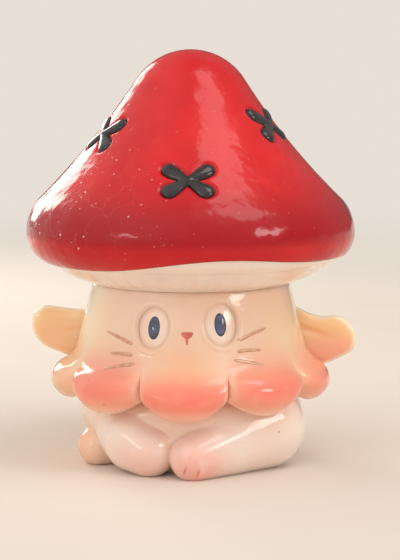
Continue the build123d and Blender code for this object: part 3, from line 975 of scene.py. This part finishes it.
def oval_patch(side, half_width, half_height, lift):
    """An oval patch of the face at an eye, with a lift for each share of the way out."""
    shares = np.linspace(0, 1, OVAL_ROWS)
    angles = np.linspace(0, 2 * np.pi, OVAL_COLUMNS, endpoint=False)
    points = np.zeros((OVAL_ROWS, OVAL_COLUMNS, 3))
    for row, share in enumerate(shares):
        for column, angle in enumerate(angles):
            height = eye_height(side) + half_height * share * math.sin(angle)
            across = half_width * share * math.cos(angle)
            turn = eye_turn(side) + math.degrees(math.asin(across / skirt_radius(eye_turn(side), height)))
            points[row, column] = face_point(turn, height, lift(share))
    masks = {"edge": np.repeat(smooth_step(*OVAL_EDGE, shares)[:, None], OVAL_COLUMNS, axis=1)}
    return points, masks


def eye_lift(share):
    """How far an eye's dome stands off the face, at a share of the way out."""
    return -EYE_SINK + EYE_DOME * (1 - share**2) ** EYE_DOME_POWER


def pupil_lift(share):
    """How far a pupil stands off the face, on the dome of its eye."""
    under = eye_lift(share * PUPIL_HALF_HEIGHT / EYE_HALF_HEIGHT)
    return under - PUPIL_SINK + PUPIL_DOME * math.sqrt(1 - share**2)


def make_eye(name, side, eye, pupil):
    points, masks = oval_patch(side, EYE_HALF_WIDTH * EYE_PLAY, EYE_HALF_HEIGHT * EYE_PLAY, eye_lift)
    make_piece(f"{name}_eye_dome", points, eye, "figure", [f"{name}_eye"], masks)
    points, masks = oval_patch(side, PUPIL_HALF_WIDTH, PUPIL_HALF_HEIGHT, pupil_lift)
    make_piece(f"{name}_pupil_dome", points, pupil, "figure", [f"{name}_pupil"], masks)


# Painted lines of the face, between places of (turn, height)

STROKE_ROWS = 40
STROKE_COLUMNS = 10
STROKE_BEAD = 0.35
STROKE_LIFT = 0.02
STROKE_END_POWER = 8
STROKE_END_LEAST = 0.0004
WHISKERS = (((27.4, 28.8), (46, 30.9)), ((26.8, 26.6), (40.5, 26.5)), ((24.7, 24.9), (40.5, 23.4)))
WHISKER_WIDTH = 0.82
WHISKER_TAPER = 0.6
WHISKER_BOW = 0.15

# How each cheek's whiskers differ, in turn and height, from a mirror image of the other's
WHISKER_SHIFTS = {"left": (0.8, -0.4), "right": (-0.7, 0.5)}

# Lines of the nose and mouth: start and end, measured from the face's middle, width and taper
NOSE_LINES = (
    ((-3.0, 31.0), (3.0, 31.0), 0.7, 1.0),
    ((-2.2, 30.9), (0, 30.1), 0.8, 0.8),
    ((2.2, 30.9), (0, 30.1), 0.8, 0.8),
    ((0, 30.4), (0, 28.7), 0.65, 0.6),
)


def stroke(start, end, width, taper, bow=0.0):
    """A line of stain on the face from one (turn, height) to another, raised like a bead."""
    points = np.zeros((STROKE_ROWS, STROKE_COLUMNS, 3))
    start, end = np.array(start, float), np.array(end, float)
    degree = math.radians(skirt_radius(*((start + end) / 2)))
    along = (end - start) * (degree, 1)
    aside = np.array([-along[1], along[0]]) / np.hypot(*along)
    for row, t in enumerate(np.linspace(0, 1, STROKE_ROWS)):
        rounding = math.sqrt(max(1 - abs(2 * t - 1) ** STROKE_END_POWER, STROKE_END_LEAST))
        half = width / 2 * (1 - (1 - taper) * t) * rounding
        for column, angle in enumerate(np.linspace(0, 2 * math.pi, STROKE_COLUMNS, endpoint=False)):
            off = aside * (half * math.cos(angle) + bow * math.sin(math.pi * t)) / (degree, 1)
            turn, height = start + (end - start) * t + off
            points[row, column] = face_point(turn, height, STROKE_BEAD * half * math.sin(angle) + STROKE_LIFT)
    return points


def make_whiskers(name, side, material):
    flip = np.array([side, 1])
    shift = WHISKER_SHIFTS[name]
    points, faces = joined(
        stroke(flip * start + shift, flip * end + shift, WHISKER_WIDTH, WHISKER_TAPER, side * WHISKER_BOW)
        for start, end in WHISKERS
    )
    node = f"{name}_whiskers"
    make_piece(f"{name}_whisker_lines", points, material, "figure", [node], faces=faces)


def make_nose(material):
    points, faces = joined(
        stroke((FACE_TURN + start, high), (FACE_TURN + end, low), width, taper)
        for (start, high), (end, low), width, taper in NOSE_LINES
    )
    make_piece("nose_and_mouth", points, material, "figure", ["nose"], faces=faces)


# Ears, as outlines of (distance from the axis, height); the first and last points are inside the head

EAR_OUTLINES = {
    "left": [(21.5, 33.0), (25.3, 32.5), (28.5, 32.7), (32.4, 33.2), (34.6, 32.3), (35.7, 30.1),
             (35.4, 27.3), (33.4, 24.6), (30.2, 23.0), (26.8, 21.9), (23.5, 22.5), (21.0, 27.5)],
    "right": [(22.5, 33.2), (26.4, 31.9), (29.2, 31.2), (32.4, 31.4), (34.9, 30.1), (36.4, 27.3),
              (35.9, 24.0), (32.9, 22.0), (29.8, 20.7), (26.5, 20.6), (23.5, 22.5), (21.5, 28.0)],
}
EAR_FOLDS = {"left": ((25.0, 28.2), (31.0, 27.2)), "right": ((25.0, 28.6), (32.0, 26.6))}
EAR_FOLD_DEPTHS = {"left": 0.35, "right": 0.7}
EAR_FOLD_WIDTH = 0.8
EAR_THICK = 2.6
EAR_EDGE_POWER = 2.4
EAR_HOLLOW = 0.9
EAR_HOLLOW_POWER = 1.5
EAR_BACK_HOLLOW = 0.3
EAR_BEND = 0.012
EAR_BEND_START = 24.0
EAR_TURN_BACK = 7.0
EAR_COLUMNS = 144
EAR_ROWS = 40
EAR_PALE_EDGE = 0.9
EAR_PALE_SHARES = (0.78, 1.0)
EAR_PINKNESS = {"left": 0.3, "right": 0.8}
EAR_PINK_BELOW = 4.0
EAR_PINK_ABOVE = 3.0


def ear_groove(name, reach, height):
    """How far the ear's front sinks along its fold, which runs out to nothing."""
    (start_out, start_z), (end_out, end_z) = EAR_FOLDS[name]
    fold_z = start_z + (end_z - start_z) * (reach - start_out) / (end_out - start_out)
    fold = bell(height, fold_z, EAR_FOLD_WIDTH) * smooth_fall(start_out, end_out, reach)
    return EAR_FOLD_DEPTHS[name] * fold


def make_ear(name, side, material):
    """A fleshy lobe with a rounded edge, and a shallow hollow and a fold in its front."""
    outline = loop(EAR_OUTLINES[name], EAR_COLUMNS)
    middle = outline.mean(axis=0)
    shares = np.sin(np.linspace(0, np.pi / 2, EAR_ROWS))[:, None]
    flat = middle + shares[..., None] * (outline - middle)
    reach, height = flat[..., 0], flat[..., 1]
    shares = shares * np.ones(len(outline))
    thick = EAR_THICK * (1 - shares**EAR_EDGE_POWER) ** 0.5
    hollow = EAR_HOLLOW * (1 - shares**2) ** EAR_HOLLOW_POWER
    bend = -EAR_BEND * np.maximum(reach - EAR_BEND_START, 0) ** 2
    front = bend - thick + hollow + ear_groove(name, reach, height)
    back = bend + thick - EAR_BACK_HOLLOW * hollow
    turn = math.radians(EAR_TURN_BACK)
    sheets = []
    for depth in (front, back):
        x = reach * math.cos(turn) - depth * math.sin(turn)
        y = reach * math.sin(turn) + depth * math.cos(turn)
        sheets.append(np.stack([side * x, y, height], -1))
    points, faces = joined(sheets)
    # The pale rim is painted rim light
    edge = EAR_PALE_EDGE * smooth_step(*EAR_PALE_SHARES, shares)
    pink = EAR_PINKNESS[name] * smooth_fall(middle[1] - EAR_PINK_BELOW, middle[1] + EAR_PINK_ABOVE, height)
    masks = {"edge": np.tile(edge.ravel(), 2), "coral": np.tile(pink.ravel(), 2)}
    make_piece(f"{name}_ear_lobe", points, material, "figure", [f"{name}_ear"], masks, faces)


# Body and legs; the side is an outline of (radius, height)

BODY_SIDE = [(17.5, 0.0), (20.6, 2.8), (22.8, 6.0), (24.1, 9.5), (24.4, 12.0), (23.6, 14.6), (21.8, 16.4),
             (20.0, 17.0)]

# Limbs, left and then right, each a chain of balls of (x, y, z, radius)
FORELEGS = (
    ((-13.6, -12.0, 8.5, 6.4), (-11.0, -15.8, 7.0, 7.1), (-7.7, -18.9, 5.2, 5.8)),
    ((15.8, -8.2, 8.8, 9.6), (1.8, -22.0, 4.3, 5.2)),
)
HIND_FEET = (
    ((-19.8, -4.2, 3.9, 4.4), (-19.8, -8.2, 3.9, 4.4)),
    ((18.7, 7.6, 3.9, 4.4), (18.7, 3.6, 3.9, 4.4)),
)

BODY_ROWS = 130
BODY_COLUMNS = 620
LIMB_STEPS = 48
LEGS_BLEND = 0.3
HIND_BLEND = 1.0
FORE_BLEND = 0.9
BELLY_HOLLOW = 2.4
BELLY_TURN = (-3.0, 36.0)
BELLY_HEIGHTS = (4, 10)

# Lines between the toes, at (turn, height)
TOE_LINES = ((0.4, 2.3), (6.6, 2.1), (-69.0, 2.2))
TOE_LEAN = 0.5
TOE_WIDTH = 0.45
TOE_HEIGHT = 0.9
TOE_DEPTH = 0.22
TOE_TONE = 0.8

# Blushes on the paws, and a patch of painted shade on the body's right, as balls of (x, y, z, radius) and a
# strength, and where the body is warmer: painted shade beside the forelegs and under the frill, and the left
# hind foot
BLUSH_AND_SHADE_BALLS = ((-9.0, -24.0, 2.5, 6.5, 0.35), (3.0, -27.0, 2.0, 7.0, 0.75), (17.0, -15.0, 7.0, 8.0, 0.16))
SHADE_SHARE = 0.15
SHADE_GAP = (-0.5, 2.2)
SHADE_HEIGHTS = (4, 9)
SHADE_TURN = (-3.0, 42.0)
TOP_SHARE = 0.2
TOP_HEIGHTS = (8, 14)
HIND_TURN = (-72.0, 14.0)
HIND_HEIGHTS = (7, 12)


def limb_reach(limb, turn, height):
    """How far out from the axis a limb reaches, at turns and heights; 0 where it isn't."""
    angle = np.radians(turn)
    reach = 0
    chain = np.array(limb)
    for place in np.linspace(0, len(chain) - 1, LIMB_STEPS):
        x, y, z, radius = (np.interp(place, np.arange(len(chain)), values) for values in chain.T)
        ahead = x * np.sin(angle) - y * np.cos(angle)
        aside = x * np.cos(angle) + y * np.sin(angle)
        left = radius**2 - aside**2 - (height - z) ** 2
        far = ahead + np.sqrt(np.maximum(left, 0))
        reach = np.maximum(reach, np.where((left > 0) & (ahead > 0), far, 0))
    return reach


def toe_lines(turn, height):
    """Short upright lines between the toes, as 1 on a line and 0 off it."""
    lines = 0
    for place, middle in TOE_LINES:
        lean = place + TOE_LEAN * (height - middle)
        lines = np.maximum(lines, bell(turn, lean, TOE_WIDTH) * bell(height, middle, TOE_HEIGHT))
    return lines


def blush_and_shade_mask(points):
    # Pink on the paws, and painted shade on the body's right
    blush_and_shade = 0
    for x, y, z, size, strength in BLUSH_AND_SHADE_BALLS:
        gap = np.linalg.norm(points - (x, y, z), axis=-1)
        blush_and_shade = np.maximum(blush_and_shade, strength * bell(gap, 0, size))
    return blush_and_shade


def warm_mask(turn, height, fore_ahead):
    """Warm tones: painted shade in the hollow beside the forelegs and under the frill, and a warmer left hind
    foot.
    """
    hollow = smooth_fall(*SHADE_GAP, fore_ahead) * smooth_step(*SHADE_HEIGHTS, height)
    shade = SHADE_SHARE * hollow * bell(turn, *SHADE_TURN)
    hind = bell(turn, *HIND_TURN) * smooth_fall(*HIND_HEIGHTS, height)
    return shade + TOP_SHARE * smooth_step(*TOP_HEIGHTS, height) + hind


def with_end_rows(mask):
    """A mask with a row of zeros more at each end."""
    return np.pad(mask, ((1, 1), (0, 0)))


def make_body(material):
    turn = full_turn(BODY_COLUMNS)
    side = spline(BODY_SIDE, BODY_ROWS)
    height = side[:, 1:]
    seat = side[:, :1] - BELLY_HOLLOW * bell(turn, *BELLY_TURN) * smooth_step(*BELLY_HEIGHTS, height)
    hind = np.maximum(*(limb_reach(foot, turn, height) for foot in HIND_FEET))
    fore = smooth_max(*(limb_reach(leg, turn, height) for leg in FORELEGS), LEGS_BLEND)
    reach = smooth_max(smooth_max(seat, hind, HIND_BLEND), fore, FORE_BLEND)
    lines = toe_lines(turn, height)
    skin = around(reach - TOE_DEPTH * lines, turn, height)
    points = np.concatenate([ring(0.0, turn, 0.0), skin, ring(0.0, turn, BODY_Z)])
    masks = {
        "blush_and_shade": blush_and_shade_mask(points),
        "warm": with_end_rows(warm_mask(turn, height, fore - seat)),
        "crease": TOE_TONE * with_end_rows(lines),
    }
    nodes = ["body_shell", "left_foreleg", "right_foreleg", "left_hind_foot", "right_hind_foot"]
    make_piece("body_and_legs", points, material, "figure", nodes, masks)


# Stage

FLOOR_CLOUDS = 9
FLOOR_TONES = ((0.77, 0.69, 0.61), (0.80, 0.72, 0.64))
FLOOR_ROUGHNESS = 0.9
FLOOR_SHINE = 0.1
FLOOR_COLUMNS = 48
BACKDROP_TONE = (0.80, 0.74, 0.67)
FADE_START = 100.0
FADE_END = 700.0
FLOOR_RADIUS = 4000.0
CAMERA_TURN = 3.0
CAMERA_RISE = 6.8
CAMERA_DISTANCE = 425.0
CAMERA_AIM_ASIDE = 2.0
CAMERA_AIM_Z = 39.5
CAMERA_LENS = 124.0
CAMERA_SENSOR = 36.0

# Lobes of the world's light: a direction, the cosine at which one starts, lowest and highest strength
WORLD_COLOUR = (1.0, 0.97, 0.93)
WORLD_LOBES = (
    ((0, 0, 1), 0.0, 0.14, 0.40),
    ((0.12, -0.82, 0.56), 0.1, 0.0, 0.33),
    ((-0.95, -0.25, 0.25), 0.0, 0.0, 0.76),
    ((0.95, -0.25, 0.15), 0.0, 0.0, 0.32),
    ((0.41, -0.23, 0.88), 0.86, 0.0, 0.45),
)

# Lamps: a name, turn and degrees above the table, distance, width and height, watts, and a colour
LAMP_AIM_Z = 45.0
LAMPS = (
    ("sun", -146, 19, 450, 165, 270, 0.65, (1.0, 0.93, 0.84)),
    ("sky", 60, 62, 420, 210, 270, 0.30, (1.0, 0.97, 0.94)),
    ("right_glint", 58, 22, 480, 170, 110, 0.36, (1.0, 0.97, 0.94)),
    ("left_glint", -40, 14, 480, 120, 40, 0.08, (1.0, 0.96, 0.91)),
)


def look_from(thing, aim, turn, rise, distance):
    """Puts a thing at a turn, degrees above the table and distance from a point, facing it."""
    out = Vector(around(math.cos(math.radians(rise)), turn, math.sin(math.radians(rise))))
    thing.location = (aim + out * distance) * MM
    thing.rotation_euler = (-out).to_track_quat("-Z", "Y").to_euler()


def make_camera():
    data = bpy.data.cameras.new("camera")
    data.sensor_fit = "VERTICAL"
    data.sensor_height = CAMERA_SENSOR
    data.lens = CAMERA_LENS
    camera = new_object("camera", data)
    aim = Vector(around(CAMERA_AIM_ASIDE, CAMERA_TURN + 90, CAMERA_AIM_Z))
    look_from(camera, aim, CAMERA_TURN, CAMERA_RISE, CAMERA_DISTANCE)
    bpy.context.scene.camera = camera


def make_lamp(name, turn, rise, distance, width, height, power, colour):
    data = bpy.data.lights.new(name, "AREA")
    data.shape = "ELLIPSE"
    data.size = width * MM
    data.size_y = height * MM
    data.energy = power
    data.color = colour
    look_from(new_object(name, data), Vector((0, 0, LAMP_AIM_Z)), turn, rise, distance)


def world_lobe(nodes, direction, start, low, high):
    """The strength of one lobe of light, which grows towards a direction."""
    inputs = {0: nodes.place, 1: Vector(direction).normalized()}
    toward = nodes.add("ShaderNodeVectorMath", inputs, operation="DOT_PRODUCT")
    return nodes.ramp(toward.outputs["Value"], start, 1.0, low, high)


def make_world():
    """Soft light in broad lobes from all round; the camera sees an even tone."""
    world = bpy.data.worlds.new("studio")
    nodes = Nodes(world, "Generated")
    level, *others = (world_lobe(nodes, *lobe) for lobe in WORLD_LOBES)
    for strength in others:
        level = nodes.combine("ADD", level, strength)
    light = nodes.tree.nodes["Background"]
    nodes.fill(light, {"Color": WORLD_COLOUR, "Strength": level})
    backdrop = nodes.add("ShaderNodeBackground", {"Color": BACKDROP_TONE})
    seen = nodes.add("ShaderNodeLightPath").outputs["Is Camera Ray"]
    nodes.show_mix(seen, light.outputs["Background"], backdrop.outputs["Background"], "World Output")
    bpy.context.scene.world = world


def floor_material():
    """A pale floor that fades to the backdrop's tone far away, for the camera and for reflections."""
    nodes = material_nodes("floor")
    shader = nodes.tree.nodes["Principled BSDF"]
    tone = nodes.clouded(FLOOR_CLOUDS, *FLOOR_TONES, detail=3)
    nodes.fill(shader, {"Base Color": tone, "Roughness": FLOOR_ROUGHNESS, "Specular IOR Level": FLOOR_SHINE})
    glow = nodes.add("ShaderNodeEmission", {"Color": BACKDROP_TONE})
    rays = nodes.add("ShaderNodeLightPath").outputs
    seen = nodes.combine("ADD", rays["Is Camera Ray"], rays["Is Glossy Ray"], clamp=True)
    shown = nodes.combine("ADD", seen, rays["Is Transmission Ray"], clamp=True)
    distance = nodes.add("ShaderNodeVectorMath", {0: nodes.place}, operation="LENGTH").outputs["Value"]
    faded = nodes.times(nodes.ramp(distance, FADE_START * MM, FADE_END * MM), shown)
    nodes.show_mix(faded, shader.outputs["BSDF"], glow.outputs["Emission"], "Material Output")
    return nodes.owner


def make_floor():
    turn = full_turn(FLOOR_COLUMNS)
    points = np.concatenate([ring(radius, turn, 0.0) for radius in (0.0, FADE_START, FADE_END, FLOOR_RADIUS)])
    mesh = new_mesh("floor", points, grid_faces(points))
    mesh.shade_smooth()
    mesh.materials.append(floor_material())
    floor = new_object("floor", mesh)


def make_stage():
    make_world()
    make_floor()
    make_camera()
    for lamp in LAMPS:
        make_lamp(*lamp)
    bpy.context.scene.view_settings.view_transform = "Standard"


def make_ornament():
    make_cap(red_glaze())
    make_underside(white_glaze())
    black = black_glaze()
    for number, (place, above) in enumerate(STITCH_PLACES, start=1):
        make_stitch(number, place, above, black)
    make_head(peach_glaze())
    make_body(blush_glaze())
    eye, pupil = eye_glaze(), pupil_glaze()
    for name, side in SIDES.items():
        make_eye(name, side, eye, pupil)
    brown = whisker_paint()
    for name, side in SIDES.items():
        make_whiskers(name, side, brown)
    make_nose(nose_paint())
    orange = orange_glaze()
    for name, side in SIDES.items():
        make_ear(name, side, orange)


make_ornament()
make_stage()
